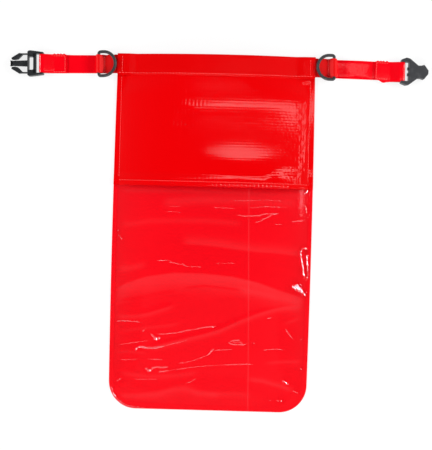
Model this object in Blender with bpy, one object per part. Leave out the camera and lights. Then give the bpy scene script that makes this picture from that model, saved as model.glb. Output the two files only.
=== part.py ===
"""Roll-top waterproof pouch, lying on its back.

Red coated cloth at the back and round the mouth, a clear film window in front, and a webbing
strap at each end of the mouth with a D-ring and one half of a side-release buckle.
X runs along the mouth, Y from the foot to the mouth, Z up from the surface it lies on.
The origin is the middle of the flat underside. Units are metres.
"""

from math import cos, pi, radians, sin, sqrt

import bmesh
import bpy
from mathutils import Matrix, Vector

for old in list(bpy.data.objects):
    bpy.data.objects.remove(old, do_unlink=True)

# Cloth, film and webbing
CLOTH = 0.0006
FILM = 0.0005
WEB_WIDTH = 0.020
WEB_THICKNESS = 0.0012
STIFFENER_THICKNESS = 0.0012
STIFFENER_WIDTH = 0.018
GAP = 0.0003  # between layers that lie on each other

# Pouch outline
POUCH_WIDTH = 0.2180
POUCH_LENGTH = 0.3920
SIDE_BOW = 0.0014  # how far each side swells out at mid length
CORNER_RADIUS = 0.030
MOUTH_SKEW = 0.0016  # the mouth's right end stands this much higher than its left
WELD_WIDTH = 0.005

# Puffed front
PUFF = 0.0085
SIDE_SHOULDER = 0.060
FOOT_SHOULDER = 0.070
MOUTH_FADE = 0.120  # below the mouth, where its long arch has turned into the squarer lower section

# Hem round the mouth, folded out and down over the straps' ends
HEM_EASE = 0.0007  # play along each edge of the webbing inside the hem
HEM_FOLD_RADIUS = 0.0011  # to the middle of the cloth
HEM_WELD = 0.0009
HEM_DROP = 0.0007  # over which the outer ply comes down to its weld
STRAP_REACH = 0.010  # into the hem
STIFFENER_CLEARANCE = 0.002
HEM_TAPER = 0.012  # over which the hem thins from the straps' stack to the stiffener

# Window seam
SEAM_HEIGHT = 0.0510  # lower edge of the red front panel
SEAM_LAP = 0.0070
SEAM_FADE = 0.0080

# Straps, measured outward from the pouch's side
STRAP_FALL = (0.0015, 0.0140)  # where the strap comes down from the hem to the surface
STRAP_TURN_UP = 0.0140  # before the buckle's bar, where the lower ply leaves the surface
STRAP_TURN_DOWN = 0.0160  # before the bar, where the upper ply comes down
LEFT_STRAP_ANGLE = radians(1.3)
LEFT_BAR = 0.0840
LEFT_STRAP_END = 0.0567
RIGHT_STRAP_ANGLE = radians(-0.8)
RIGHT_BAR = 0.0963
RIGHT_STRAP_END = 0.0660

# Webbing loops and D-rings, measured the same way
RING_BAR = 0.0207
LOOP_STITCH = 0.0148
RING_WIRE = 0.0035
RING_HALF_HEIGHT = 0.0132  # bar's middle to the leg's middle
RING_LEG = 0.0055
RING_CORNER = 0.0022
RING_TILT = radians(10.4)
LEFT_LOOP_ANGLE = radians(1.8)
RIGHT_LOOP_ANGLE = radians(1.6)
RIGHT_RING_SHIFT = 0.0004  # along its bar

# Buckle halves, measured outward from the middle of each bar
BAR_RADIUS = 0.00145
SLOT_HALF_WIDTH = 0.01055
MALE_HALF_HEIGHT = 0.0033
MALE_SLOT_END = 0.0059
MALE_MID_BAR = 0.0031
MALE_SECOND_SLOT = 0.0049
MALE_SECOND_HALF_WIDTH = 0.0073
MALE_HEAD = 0.0015
ARM_OUTER = 0.0110
ARM_THICKNESS = 0.0014
ARM_HALF_HEIGHT = 0.0020
TONGUE_HALF_WIDTH = 0.0034
TONGUE_HALF_HEIGHT = 0.0013
PRONG_LENGTH = 0.0195
FEMALE_HALF_HEIGHT = 0.0036
FEMALE_SLOT_END = 0.0065
FEMALE_LENGTH = 0.0280
SOCKET_START = 0.0095
SOCKET_HALF_WIDTH = 0.0061
SOCKET_HALF_HEIGHT = 0.0022
WINDOW_END = 0.0168  # where the side windows stop and the nose posts begin
NUB = 0.0015
NUB_PLACE = 0.0032  # to each side of the middle
SLOT_CORNER = 0.0008
RECESS = 0.0013  # on both faces, behind the second slot's far edge
EDGE = 0.0006  # chamfer on the mouldings' outer edges, less than their tightest corner
FINE_EDGE = 0.0003

# Moulding outlines by their corners: place outward from the bar, half width, corner radius
MALE_BACK = (-0.0024, 0.0123, 0.0009)
MALE_SHOULDER = (0.0118, 0.0142, 0.0030)
MALE_FRONT = (0.0139, 0.0022)  # half width and corner radius where the prongs start
FEMALE_BACK = ((-0.0022, 0.0129, 0.0008), (0.0036, 0.0152, 0.0024), (0.0074, 0.0143, 0.0020))
FEMALE_WAIST = (0.0069, 0.0020)  # half width and corner radius where the nose posts begin
FEMALE_NOSE = ((0.0198, 0.0070, 0.0015), (0.0234, 0.0080, 0.0010))
FEMALE_TIP = (0.0020, 0.0007)

# The same, but with places measured back from the prongs' tips
BARB = (
    (0.0094, 0.0046, 0.0012),
    (0.0058, 0.0037, 0.0008),
    (0.0020, 0.0042, 0.0010),
    (0.0018, 0.0061, 0.0010),
)
BARB_SHOULDER = 0.0103
BARB_FLARE = 0.0003  # by which the shoulder stands out from its arm
ARM_INNER_KNEE = 0.0143
ARM_OUTER_KNEE = 0.0125
TONGUE_FORK = ((0.0006, 0.0016), (0.0028, 0.0007))  # place back from the tip, and depth or half width
TONGUE_SHOULDER = 0.0036

HALF_LENGTH = POUCH_LENGTH / 2
SINGLE_STACK = STIFFENER_THICKNESS + 2 * GAP
STRAP_STACK = 3 * WEB_THICKNESS + 4 * GAP
INNER_PLY = CLOTH + GAP + CLOTH / 2  # middle of the hem's inner ply at the sides
STRAP_LEVEL = CLOTH + GAP + CLOTH + GAP + WEB_THICKNESS / 2
PLY_STEP = WEB_THICKNESS + GAP
HEM_FLANGE = STRAP_REACH + 2 * GAP  # where the front lies flat under the straps' ends
HEM_HEIGHT = CLOTH + 2 * HEM_EASE + WEB_WIDTH + HEM_DROP + HEM_WELD
STRAP_DEPTH = CLOTH + HEM_EASE + WEB_WIDTH / 2  # strap's middle below the mouth's edge


def material(name, colour, roughness, alpha=1.0):
    made = bpy.data.materials.new(name)
    made.use_nodes = True
    shader = made.node_tree.nodes["Principled BSDF"]
    shader.inputs["Base Color"].default_value = (*colour, 1.0)
    shader.inputs["Roughness"].default_value = roughness
    shader.inputs["Metallic"].default_value = 0.0
    shader.inputs["Alpha"].default_value = alpha
    return made


RED_CLOTH = material("red_cloth", (0.83, 0.004, 0.006), 0.3)
CLEAR_FILM = material("clear_film", (1.0, 0.93, 0.93), 0.1, alpha=0.3)
RED_WEBBING = material("red_webbing", (0.87, 0.006, 0.012), 0.55)
WHITE_STRIP = material("white_strip", (0.8, 0.8, 0.78), 0.5)
DARK_PLASTIC = material("dark_plastic", (0.065, 0.066, 0.07), 0.45)


def place(obj, parent):
    bpy.context.scene.collection.objects.link(obj)
    obj.parent = parent
    return obj


def frame_empty(name, location, turn, parent=None, tilt=0.0):
    empty = bpy.data.objects.new(name, None)
    empty.empty_display_size = 0.01
    empty.location = location
    empty.rotation_euler = (0.0, tilt, turn)
    return place(empty, parent)


def mesh_object(name, bm, finish, parent=None, smooth_angle=None):
    bmesh.ops.recalc_face_normals(bm, faces=bm.faces)
    mesh = bpy.data.meshes.new(name)
    bm.to_mesh(mesh)
    bm.free()
    mesh.materials.append(finish)
    if smooth_angle is not None:
        mesh.shade_smooth()
        mesh.set_sharp_from_angle(angle=radians(smooth_angle))
    return place(bpy.data.objects.new(name, mesh), parent)


def stitch_rings(bm, rings, closed_sides=True):
    """Join rings of vertices one after the other; each ring runs round the section."""
    for first, second in zip(rings, rings[1:]):
        count = len(first)
        for i in range(count if closed_sides else count - 1):
            j = (i + 1) % count
            bm.faces.new((first[i], first[j], second[j], second[i]))


def shell(name, lower, upper, finish):
    """A thin closed body between two grids of points of the same size."""
    bm = bmesh.new()
    rows, columns = len(lower), len(lower[0])
    faces = [[[bm.verts.new(p) for p in row] for row in grid] for grid in (lower, upper)]
    for grid in faces:
        stitch_rings(bm, grid, closed_sides=False)
    rim = [(0, c) for c in range(columns)]
    rim += [(r, columns - 1) for r in range(1, rows)]
    rim += [(rows - 1, c) for c in range(columns - 2, -1, -1)]
    rim += [(r, 0) for r in range(rows - 2, 0, -1)]
    stitch_rings(bm, [[grid[r][c] for r, c in rim] for grid in faces])
    return mesh_object(name, bm, finish, smooth_angle=35)


def smooth_step(t):
    t = min(1.0, max(0.0, t))
    return t * t * (3 - 2 * t)


def ramp(x, start, end):
    """A smooth rise from one (place, level) to another."""
    return start[1] + (end[1] - start[1]) * smooth_step((x - start[0]) / (end[0] - start[0]))


def spread(first, last, count):
    return [first + (last - first) * i / count for i in range(count + 1)]


# Pouch shell


def half_width(y):
    """Half the pouch's width at y, with the swell of its sides and its round foot corners."""
    side = POUCH_WIDTH / 2 + SIDE_BOW * (1 - (y / HALF_LENGTH) ** 2)
    below = CORNER_RADIUS - HALF_LENGTH - y
    if below <= 0:
        return side
    return side - CORNER_RADIUS + sqrt(max(0.0, CORNER_RADIUS**2 - below**2))


def skewed(x, y):
    """The mouth's edge isn't quite square to the sides, which fades out down to the window."""
    share = max(0.0, (y - SEAM_HEIGHT) / (HALF_LENGTH - SEAM_HEIGHT))
    return y + MOUTH_SKEW * share * x / POUCH_WIDTH


def puffed(x, y):
    """Height of the front over its welds."""
    flange = ramp(y, (HALF_LENGTH - 2 * HEM_HEIGHT, WELD_WIDTH), (HALF_LENGTH - HEM_HEIGHT, HEM_FLANGE))
    inner = half_width(y) - flange
    lower = smooth_step((HALF_LENGTH - y) / MOUTH_FADE)
    shoulder = inner + (SIDE_SHOULDER - inner) * lower
    side = min(1.0, max(0.0, (inner - abs(x)) / shoulder))
    foot = min(1.0, max(0.0, (y + HALF_LENGTH - WELD_WIDTH) / FOOT_SHOULDER))
    return PUFF * (1 - (1 - side) ** 2) * (1 - (1 - foot) ** 2)


def columns_at(y, inner_columns=24):
    """Places across the width: the edge, the weld, the end of the straps, then even steps."""
    edge = half_width(y)
    inner = edge - HEM_FLANGE
    return [-edge, WELD_WIDTH - edge, *spread(-inner, inner, inner_columns), edge - WELD_WIDTH, edge]


def corner_rows(steps=8):
    """Rows up the foot's round corners, closer together where the outline turns."""
    return [-HALF_LENGTH + CORNER_RADIUS * (1 - cos(pi / 2 * i / steps)) for i in range(steps + 1)]


def make_back_panel():
    side = corner_rows() + spread(CORNER_RADIUS - HALF_LENGTH, HALF_LENGTH, 8)[1:]
    outline = [(half_width(y), y) for y in side] + [(-half_width(y), y) for y in reversed(side)]
    bm = bmesh.new()
    rings = [[bm.verts.new((x, skewed(x, y), z)) for x, y in outline] for z in (0.0, CLOTH)]
    stitch_rings(bm, rings)
    for ring in rings:
        bm.faces.new(ring)
    return mesh_object("back_panel", bm, RED_CLOTH)


def make_window_panel():
    top = SEAM_HEIGHT + SEAM_LAP
    rows = corner_rows() + spread(CORNER_RADIUS - HALF_LENGTH, SEAM_HEIGHT, 16)[1:] + [top]
    lower = [[(x, y, CLOTH + GAP + puffed(x, y)) for x in columns_at(y)] for y in rows]
    upper = [[(x, y, z + FILM) for x, y, z in row] for row in lower]
    return shell("window_panel", lower, upper, CLEAR_FILM)


def hem_cavity(x):
    """Height inside the hem: room for strap and loop at its ends, for the stiffener between."""
    ends_at = half_width(HALF_LENGTH) - HEM_FLANGE
    return ramp(abs(x), (ends_at - HEM_TAPER, SINGLE_STACK), (ends_at, STRAP_STACK))


def inner_ply_level(x):
    return INNER_PLY + puffed(x, HALF_LENGTH)


def panel_line(column):
    """Middle line of the front panel's cloth in one column, from the seam to the hem's weld."""
    lifted = FILM + GAP
    lap_top = SEAM_HEIGHT + SEAM_LAP
    rows = [SEAM_HEIGHT, lap_top] + spread(lap_top + SEAM_FADE, HALF_LENGTH - 2 * HEM_HEIGHT, 7)
    rows += spread(HALF_LENGTH - HEM_HEIGHT, HALF_LENGTH - HEM_FOLD_RADIUS - GAP, 3)
    line = []
    for y in rows:
        x = columns_at(y)[column]
        level = ramp(y, (lap_top, lifted), (lap_top + SEAM_FADE, 0.0))
        line.append((x, y, INNER_PLY + puffed(x, y) + level))
    x = columns_at(HALF_LENGTH)[column]
    inner = inner_ply_level(x)
    outer = inner + CLOTH + hem_cavity(x)
    turn = HALF_LENGTH - HEM_FOLD_RADIUS
    for step in range(4):
        angle = pi / 2 * step / 3
        line.append((x, turn + HEM_FOLD_RADIUS * sin(angle), inner + HEM_FOLD_RADIUS * (1 - cos(angle))))
    for step in range(4):
        angle = pi / 2 * step / 3
        line.append((x, turn + HEM_FOLD_RADIUS * cos(angle), outer - HEM_FOLD_RADIUS * (1 - sin(angle))))
    foot = HALF_LENGTH - HEM_HEIGHT
    weld = foot + HEM_WELD
    welded = inner + CLOTH + GAP
    line += [(x, foot + HEM_HEIGHT / 2, outer), (x, weld + HEM_DROP, outer)]
    line += [(x, weld, welded), (x, foot, welded)]
    return line


def offset_line(line, distance):
    """The same line moved along its normals in the YZ plane."""
    moved = []
    for i, (x, y, z) in enumerate(line):
        before, after = line[max(0, i - 1)], line[min(len(line) - 1, i + 1)]
        along = Vector((after[1] - before[1], after[2] - before[2])).normalized()
        moved.append((x, y - along.y * distance, z + along.x * distance))
    return moved


def make_front_panel():
    lines = [panel_line(column) for column in range(len(columns_at(HALF_LENGTH)))]
    grids = []
    for distance in (-CLOTH / 2, CLOTH / 2):
        grid = [offset_line(line, distance) for line in lines]
        grids.append([[(x, skewed(x, y), z) for x, y, z in line] for line in grid])
    return shell("front_panel", *grids, RED_CLOTH)


def make_lip_stiffener():
    middle = HALF_LENGTH - STRAP_DEPTH
    reach = half_width(HALF_LENGTH) - STRAP_REACH - STIFFENER_CLEARANCE
    places = spread(-reach, reach, 28)
    lower = []
    for side in (-STIFFENER_WIDTH / 2, STIFFENER_WIDTH / 2):
        lower.append([(x, skewed(x, middle + side), inner_ply_level(x) + CLOTH / 2 + GAP) for x in places])
    upper = [[(x, y, z + STIFFENER_THICKNESS) for x, y, z in row] for row in lower]
    return shell("lip_stiffener", lower, upper, WHITE_STRIP)


# Webbing


def ribbon(name, path, parent):
    """Flat webbing swept along a path in its own XZ plane."""
    bm = bmesh.new()
    rings = []
    for i, point in enumerate(path):
        before = Vector(path[max(0, i - 1)])
        after = Vector(path[min(len(path) - 1, i + 1)])
        along = (after - before).normalized()
        normal = Vector((-along.y, along.x)) * WEB_THICKNESS / 2
        ring = []
        for side, turn in ((-1, -1), (1, -1), (1, 1), (-1, 1)):
            x, z = Vector(point) + normal * turn
            ring.append(bm.verts.new((x, side * WEB_WIDTH / 2, z)))
        rings.append(ring)
    stitch_rings(bm, rings)
    bm.faces.new(rings[0])
    bm.faces.new(rings[-1])
    return mesh_object(name, bm, RED_WEBBING, parent, smooth_angle=30)


def turn_round(centre, radius, steps=12):
    """Half a turn round a bar, from below it to above it, on its outer side."""
    angles = spread(-pi / 2, pi / 2, steps)
    return [(centre[0] + radius * cos(a), centre[1] + radius * sin(a)) for a in angles]


def strap_path(bar_at, bar_level, end_at):
    """From inside the hem, down to the surface, round the buckle's bar and back on itself."""
    radius = BAR_RADIUS + GAP + WEB_THICKNESS / 2
    ground = WEB_THICKNESS / 2
    fall, land = STRAP_FALL
    path = [(-STRAP_REACH, STRAP_LEVEL)]
    path += [(x, ramp(x, (fall, STRAP_LEVEL), (land, ground))) for x in spread(fall, land, 8)]
    lifting = spread(bar_at - STRAP_TURN_UP, bar_at, 6)[:-1]
    path += [(x, ramp(x, (lifting[0], ground), (bar_at, bar_level - radius))) for x in lifting]
    path += turn_round((bar_at, bar_level), radius)
    landed = bar_at - STRAP_TURN_DOWN
    back = (landed, ground + PLY_STEP)
    path += [(x, ramp(x, back, (bar_at, bar_level + radius))) for x in spread(bar_at, landed, 8)[1:]]
    path.append((end_at, ground + PLY_STEP))
    return path


def ring_bar_level():
    """The ring's bar stands over the strap, the loop's lower ply and the clearances between."""
    return WEB_THICKNESS + GAP + WEB_THICKNESS + GAP + RING_WIRE / 2


def loop_path():
    """From inside the hem out along the strap, round the ring's bar and back into the hem."""
    radius = RING_WIRE / 2 + GAP + WEB_THICKNESS / 2
    bar_level = ring_bar_level()
    low = STRAP_LEVEL + PLY_STEP
    sewn = WEB_THICKNESS / 2 + PLY_STEP
    path = [(-STRAP_REACH, low)]
    path += [(x, ramp(x, (0.0, low), (LOOP_STITCH, sewn))) for x in spread(0.0, LOOP_STITCH, 8)]
    path += turn_round((RING_BAR, bar_level), radius)
    down = (LOOP_STITCH, sewn + PLY_STEP)
    path += [(x, ramp(x, down, (RING_BAR, bar_level + radius))) for x in spread(RING_BAR, LOOP_STITCH, 5)[1:]]
    up = (0.0, low + PLY_STEP)
    path += [(x, ramp(x, up, down)) for x in spread(LOOP_STITCH, 0.0, 8)[1:]]
    path.append((-STRAP_REACH, low + PLY_STEP))
    return path


# D-rings


def ring_line():
    """Middle line of the ring's wire, with its bar through the origin and its arc towards -X."""
    half, leg, corner = RING_HALF_HEIGHT, RING_LEG, RING_CORNER
    line = []
    for angle in spread(pi / 2, 3 * pi / 2, 20):
        line.append((-leg + half * cos(angle), half * sin(angle)))
    for angle in spread(-pi / 2, 0.0, 5):
        line.append((corner * (cos(angle) - 1), corner - half + corner * sin(angle)))
    line += [(0.0, y) for y in spread(corner - half, half - corner, 4)[1:-1]]
    for angle in spread(0.0, pi / 2, 5):
        line.append((corner * (cos(angle) - 1), half - corner + corner * sin(angle)))
    return line


def make_ring(name, parent, sides=10):
    line = [Vector((x, y, 0.0)) for x, y in ring_line()]
    up = Vector((0.0, 0.0, 1.0))
    bm = bmesh.new()
    rings = []
    for i, point in enumerate(line):
        along = (line[(i + 1) % len(line)] - line[i - 1]).normalized()
        out = along.cross(up)
        angles = spread(0.0, 2 * pi, sides)[:-1]
        rings.append([bm.verts.new(point + (out * cos(a) + up * sin(a)) * RING_WIRE / 2) for a in angles])
    stitch_rings(bm, rings + rings[:1])
    return mesh_object(name, bm, DARK_PLASTIC, parent, smooth_angle=50)


# Moulded buckle halves


def rounded(corners, steps=4):
    """An outline with each corner (x, y, radius) turned into an arc."""
    outline = []
    for i, (x, y, radius) in enumerate(corners):
        point = Vector((x, y))
        if radius == 0:
            outline.append((x, y))
            continue
        back = (Vector(corners[i - 1][:2]) - point).normalized()
        ahead = (Vector(corners[(i + 1) % len(corners)][:2]) - point).normalized()
        half = back.angle(ahead) / 2
        start = point + back * radius / abs(sin(half) / cos(half))
        centre = point + (back + ahead).normalized() * radius / sin(half)
        sweep = (start - centre).angle_signed(point + ahead * (start - point).length - centre)
        for step in range(steps + 1):
            turned = Matrix.Rotation(-sweep * step / steps, 2) @ (start - centre)
            outline.append(tuple(centre + turned))
    return outline


def mirrored(corners):
    """A closed outline from its half at y > 0, listed outward, and the same below."""
    return [(x, -y, radius) for x, y, radius in corners] + list(reversed(corners))


def inset(outline, distance):
    """The outline drawn in by a distance, edge by edge."""
    drawn = []
    for i, point in enumerate(outline):
        here = Vector(point)
        back = (here - Vector(outline[i - 1])).normalized()
        ahead = (Vector(outline[(i + 1) % len(outline)]) - here).normalized()
        normals = Vector((-back.y, back.x)), Vector((-ahead.y, ahead.x))
        bisector = (normals[0] + normals[1]).normalized()
        drawn.append(tuple(here + bisector * distance / max(0.4, bisector.dot(normals[0]))))
    return drawn


def prism(name, outline, half_height, parent, edge=EDGE):
    """A plate with a counter-clockwise outline, chamfered at its top and bottom edges."""
    levels = [(-half_height, 0.0), (half_height, 0.0)]
    if edge > 0:
        flat = half_height - edge
        levels = [(-half_height, edge), (-flat, 0.0), (flat, 0.0), (half_height, edge)]
    bm = bmesh.new()
    rings = []
    for level, drawn in levels:
        points = inset(outline, drawn) if drawn else outline
        rings.append([bm.verts.new((x, y, level)) for x, y in points])
    stitch_rings(bm, rings)
    bm.faces.new(rings[0])
    bm.faces.new(rings[-1])
    return mesh_object(name, bm, DARK_PLASTIC, parent)


def box_outline(x0, x1, half):
    return [(x0, -half), (x1, -half), (x1, half), (x0, half)]


def bar_along_y(name, parent, half, sides=14):
    bm = bmesh.new()
    rings = []
    for y in (-half, half):
        angles = spread(0.0, 2 * pi, sides)[:-1]
        rings.append([bm.verts.new((BAR_RADIUS * cos(a), y, BAR_RADIUS * sin(a))) for a in angles])
    stitch_rings(bm, rings)
    for ring in rings:
        bm.faces.new(ring)
    return mesh_object(name, bm, DARK_PLASTIC, parent)


def combine(body, tool, operation):
    """Cut a tool from a body, or join it on; the tool itself stays a hidden guide."""
    tool.hide_render = True
    tool.display_type = "WIRE"
    tool.hide_set(True)
    step = body.modifiers.new(tool.name, "BOOLEAN")
    step.operation = operation
    step.object = tool
    step.solver = "EXACT"


def cut(body, tool):
    combine(body, tool, "DIFFERENCE")


def join(body, tool):
    combine(body, tool, "UNION")


def arm_outline(side, head_end):
    """One spring arm with its barb, on the side given by 1 or -1."""
    tip = head_end + PRONG_LENGTH
    root = head_end - MALE_HEAD / 2
    inner = ARM_OUTER - ARM_THICKNESS
    corners = [(root, ARM_OUTER, 0), (root, inner, 0), (tip - ARM_INNER_KNEE, inner, FINE_EDGE)]
    corners += [(tip - back, half, radius) for back, half, radius in BARB]
    corners.append((tip - BARB_SHOULDER, ARM_OUTER + BARB_FLARE, 4 * FINE_EDGE))
    corners.append((tip - ARM_OUTER_KNEE, ARM_OUTER, 0))
    outline = rounded(corners)
    if side < 0:
        outline = [(x, -y) for x, y in reversed(outline)]
    return outline


def tongue_outline(head_end):
    """The middle guide tongue, forked at its tip."""
    tip = head_end + PRONG_LENGTH
    half = TONGUE_HALF_WIDTH
    (lip_back, lip_depth), (fork_back, fork_half) = TONGUE_FORK
    corners = [
        (head_end - MALE_HEAD / 2, half, 0),
        (tip - TONGUE_SHOULDER, half - 2 * FINE_EDGE, 2 * FINE_EDGE),
        (tip, half, 2 * FINE_EDGE),
        (tip - lip_back, half - lip_depth, FINE_EDGE),
        (tip - fork_back, fork_half, FINE_EDGE),
    ]
    return rounded(mirrored(corners))


def side_name(stem, side):
    return stem + ("_low" if side < 0 else "_high")


def make_male_buckle(parent):
    second = MALE_SLOT_END + MALE_MID_BAR
    head_start = second + MALE_SECOND_SLOT
    head_end = head_start + MALE_HEAD
    outer = rounded(mirrored([MALE_BACK, MALE_SHOULDER, (head_end, *MALE_FRONT)]))
    body = prism("male_buckle", outer, MALE_HALF_HEIGHT, parent)
    deep = 2 * MALE_HALF_HEIGHT
    slot = box_outline(4 * MALE_BACK[0], MALE_SLOT_END, SLOT_HALF_WIDTH)
    cut(body, prism("male_strap_slot", slot, deep, parent, edge=0))
    second_slot = box_outline(second, head_start, MALE_SECOND_HALF_WIDTH)
    second_slot = rounded([(x, y, SLOT_CORNER) for x, y in second_slot])
    cut(body, prism("male_second_slot", second_slot, deep, parent, edge=0))
    for side in (-1, 1):
        recess = box_outline(0.0, second, SLOT_HALF_WIDTH)
        recess = prism(side_name("male_recess", side), recess, RECESS, parent, edge=0)
        recess.location.z = side * MALE_HALF_HEIGHT
        cut(body, recess)
    join(body, bar_along_y("male_bar", parent, SLOT_HALF_WIDTH + EDGE))
    for side in (-1, 1):
        outline = arm_outline(side, head_end)
        join(body, prism(side_name("male_arm", side), outline, ARM_HALF_HEIGHT, parent, edge=FINE_EDGE))
    tongue = tongue_outline(head_end)
    join(body, prism("male_tongue", tongue, TONGUE_HALF_HEIGHT, parent, edge=FINE_EDGE))
    return body


def make_female_buckle(parent):
    corners = [*FEMALE_BACK, (WINDOW_END, *FEMALE_WAIST), *FEMALE_NOSE, (FEMALE_LENGTH, *FEMALE_TIP)]
    body = prism("female_buckle", rounded(mirrored(corners)), FEMALE_HALF_HEIGHT, parent)
    deep = 2 * FEMALE_HALF_HEIGHT
    slot = box_outline(4 * FEMALE_BACK[0][0], FEMALE_SLOT_END, SLOT_HALF_WIDTH)
    cut(body, prism("female_strap_slot", slot, deep, parent, edge=0))
    socket = box_outline(SOCKET_START, FEMALE_LENGTH + EDGE, SOCKET_HALF_WIDTH)
    cut(body, prism("female_socket", socket, SOCKET_HALF_HEIGHT, parent, edge=0))
    windows = box_outline(SOCKET_START, WINDOW_END, 2 * SLOT_HALF_WIDTH)
    cut(body, prism("female_side_windows", windows, SOCKET_HALF_HEIGHT, parent, edge=0))
    join(body, bar_along_y("female_bar", parent, SLOT_HALF_WIDTH + EDGE))
    for side in (-1, 1):
        outline = box_outline(FEMALE_SLOT_END - NUB, FEMALE_SLOT_END + NUB, NUB)
        nub = prism(side_name("female_nub", side), outline, NUB, parent, edge=FINE_EDGE)
        nub.location.y = side * NUB_PLACE
        join(body, nub)
    return body


def make_side(side, strap_angle, loop_angle, bar_at, end_at, bar_level, ring_shift):
    """Strap, loop and ring of one side; returns the empty on its buckle's bar."""
    name = "left" if side < 0 else "right"
    edge = half_width(HALF_LENGTH)
    root_y = HALF_LENGTH - STRAP_DEPTH + side * MOUTH_SKEW / 2
    turn = pi if side < 0 else 0.0
    strap_frame = frame_empty(name + "_strap_frame", (side * edge, root_y, 0.0), turn + strap_angle)
    ribbon(name + "_strap", strap_path(bar_at, bar_level, end_at), strap_frame)
    loop_frame = frame_empty(name + "_loop_frame", (side * edge, root_y, 0.0), turn + loop_angle)
    ribbon(name + "_ring_loop", loop_path(), loop_frame)
    ring_at = (RING_BAR, ring_shift, ring_bar_level())
    ring_axis = frame_empty(name + "_ring_axis", ring_at, 0.0, loop_frame, tilt=RING_TILT)
    make_ring(name + "_d_ring", ring_axis)
    return frame_empty(name + "_bar_axis", (bar_at, 0.0, bar_level), 0.0, strap_frame)


make_back_panel()
make_window_panel()
make_front_panel()
make_lip_stiffener()
left_bar = make_side(
    -1, LEFT_STRAP_ANGLE, LEFT_LOOP_ANGLE, LEFT_BAR, LEFT_STRAP_END, MALE_HALF_HEIGHT, 0.0
)
make_male_buckle(left_bar)
right_bar = make_side(
    1, RIGHT_STRAP_ANGLE, RIGHT_LOOP_ANGLE, RIGHT_BAR, RIGHT_STRAP_END, FEMALE_HALF_HEIGHT, RIGHT_RING_SHIFT
)
make_female_buckle(right_bar)
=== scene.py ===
from math import cos, pi, radians, sin

import bpy
import numpy as np
from mathutils import Matrix, Vector


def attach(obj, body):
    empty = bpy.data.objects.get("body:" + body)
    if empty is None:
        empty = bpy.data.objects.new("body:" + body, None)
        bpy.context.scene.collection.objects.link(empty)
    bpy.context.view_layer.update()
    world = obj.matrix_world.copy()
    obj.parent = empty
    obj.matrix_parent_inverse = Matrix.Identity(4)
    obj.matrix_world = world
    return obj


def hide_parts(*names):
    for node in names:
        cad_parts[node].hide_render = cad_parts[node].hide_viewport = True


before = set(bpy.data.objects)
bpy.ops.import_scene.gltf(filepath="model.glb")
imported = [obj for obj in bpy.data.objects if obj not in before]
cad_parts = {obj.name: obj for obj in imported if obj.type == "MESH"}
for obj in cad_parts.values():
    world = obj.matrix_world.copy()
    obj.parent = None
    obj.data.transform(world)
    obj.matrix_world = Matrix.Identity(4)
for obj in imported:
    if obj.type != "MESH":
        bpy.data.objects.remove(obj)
scene = bpy.context.scene
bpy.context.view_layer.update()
print("frame loaded:", len(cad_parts), "nodes")


# shader maths

class Value:
    # wraps a node's output, so that an expression on values adds its Math nodes
    def __init__(self, finish, socket):
        self.finish = finish
        self.socket = socket

    def maths(self, operation, *others):
        return self.finish.node("Math", {"operation": operation}, dict(enumerate((self, *others))))

    def __add__(self, other):
        return self.maths("ADD", other)

    def __mul__(self, other):
        return self.maths("MULTIPLY", other)

    def __sub__(self, other):
        return self.maths("SUBTRACT", other)

    def __rsub__(self, other):
        return self.finish.node("Math", {"operation": "SUBTRACT"}, {0: other, 1: self})

    def __truediv__(self, other):
        return self.maths("DIVIDE", other)

    __radd__ = __add__
    __rmul__ = __mul__

    def wave(self):
        return self.maths("SINE") * 0.5 + 0.5

    def clamped(self, low=0.0, high=1.0):
        return self.finish.node("Clamp", {}, {"Value": self, "Min": low, "Max": high})


class Finish:
    # one node tree, of a material or of the world
    def __init__(self, name, owner=None):
        self.owner = owner or bpy.data.materials.new(name)
        self.owner.use_nodes = True
        self.tree = self.owner.node_tree
        self.tree.nodes.clear()

    def node(self, kind, settings=None, inputs=None, output=0):
        made = self.tree.nodes.new("ShaderNode" + kind)
        for key, setting in (settings or {}).items():
            if key == "stops":
                stops = made.color_ramp.elements
                stops[0].position, stops[1].position = setting[0][0], setting[-1][0]
                for place, _ in setting[1:-1]:
                    stops.new(place)
                for stop, (_, level) in zip(stops, setting):
                    stop.color = (level, level, level, 1)
            else:
                setattr(made, key, setting)
        for key, given in (inputs or {}).items():
            if isinstance(given, Value):
                self.tree.links.new(given.socket, made.inputs[key])
            else:
                made.inputs[key].default_value = given
        return Value(self, made.outputs[output] if made.outputs else None)

    def place(self):
        return self.node("TexCoord", output="Object")

    def axes(self, vector=None):
        source = vector or self.place()
        return [self.node("SeparateXYZ", {}, {0: source}, output=i) for i in range(3)]

    def noise(self, scale, detail=3.0, roughness=0.55, stretch=(1, 1, 1)):
        place = self.node("Mapping", {}, {"Vector": self.place(), "Scale": stretch})
        return self.node("TexNoise", {}, {"Vector": place, "Scale": scale, "Detail": detail,
                                          "Roughness": roughness})

    def tint(self, mask, first, second):
        ends = {0: mask, 6: (*first, 1), 7: (*second, 1)}
        return self.node("Mix", {"data_type": "RGBA"}, ends, output=2)

    def bump(self, height, distance):
        return self.node("Bump", {}, {"Height": height, "Distance": distance, "Strength": 1.0})

    def surface(self, shader):
        self.node("OutputMaterial", {}, {"Surface": shader})
        return self.owner

    def coat(self, mask, colours, roughness, height, rise, shine=0.5):
        return self.surface(self.node("BsdfPrincipled", {}, {
            "Base Color": self.tint(mask, *colours), "Roughness": roughness,
            "Specular IOR Level": shine, "Normal": self.bump(height, rise),
        }))


# finishes

scrim = {
    "across": 0.0042, "along": 0.0031,  # from yarn to yarn
    "patch": 0.0120,  # how far a yarn runs before the coating hides it
    "acrossRise": 1.5, "alongRise": 0.36, "grainRise": 0.04,
}


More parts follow.
